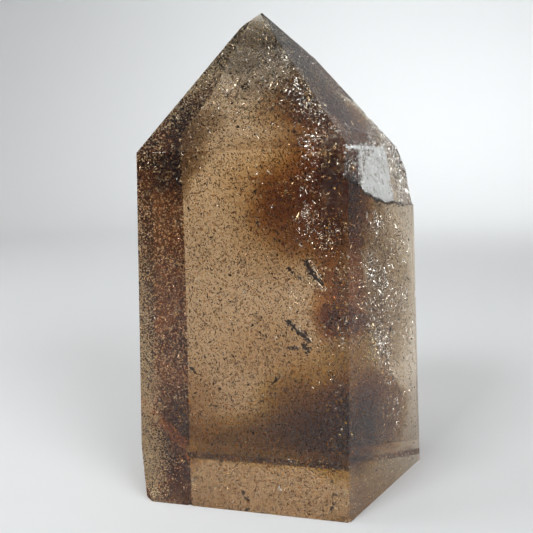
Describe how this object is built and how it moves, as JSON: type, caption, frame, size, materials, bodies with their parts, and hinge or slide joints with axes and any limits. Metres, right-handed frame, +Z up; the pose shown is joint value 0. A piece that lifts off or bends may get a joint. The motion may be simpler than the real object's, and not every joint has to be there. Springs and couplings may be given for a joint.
{
  "type": "smoky quartz crystal",
  "caption": "Upright six-sided smoky quartz crystal point, brown and see-through, with a chipped right shoulder, a blunt tip and a flat base to stand on.",
  "frame": {"origin": "middle of the flat base, on the surface that the crystal stands on", "axes": "+X along the front face to the right, +Y from the front face to the back, +Z up to the tip"},
  "size_m": [0.0486, 0.0262, 0.0749],
  "materials": {
    "smoky_quartz": "clear natural faces, glossy, warm brown smoke inside"
  },
  "bodies": {
    "root": {"crystal": "smoky_quartz"}
  },
  "joints": []
}
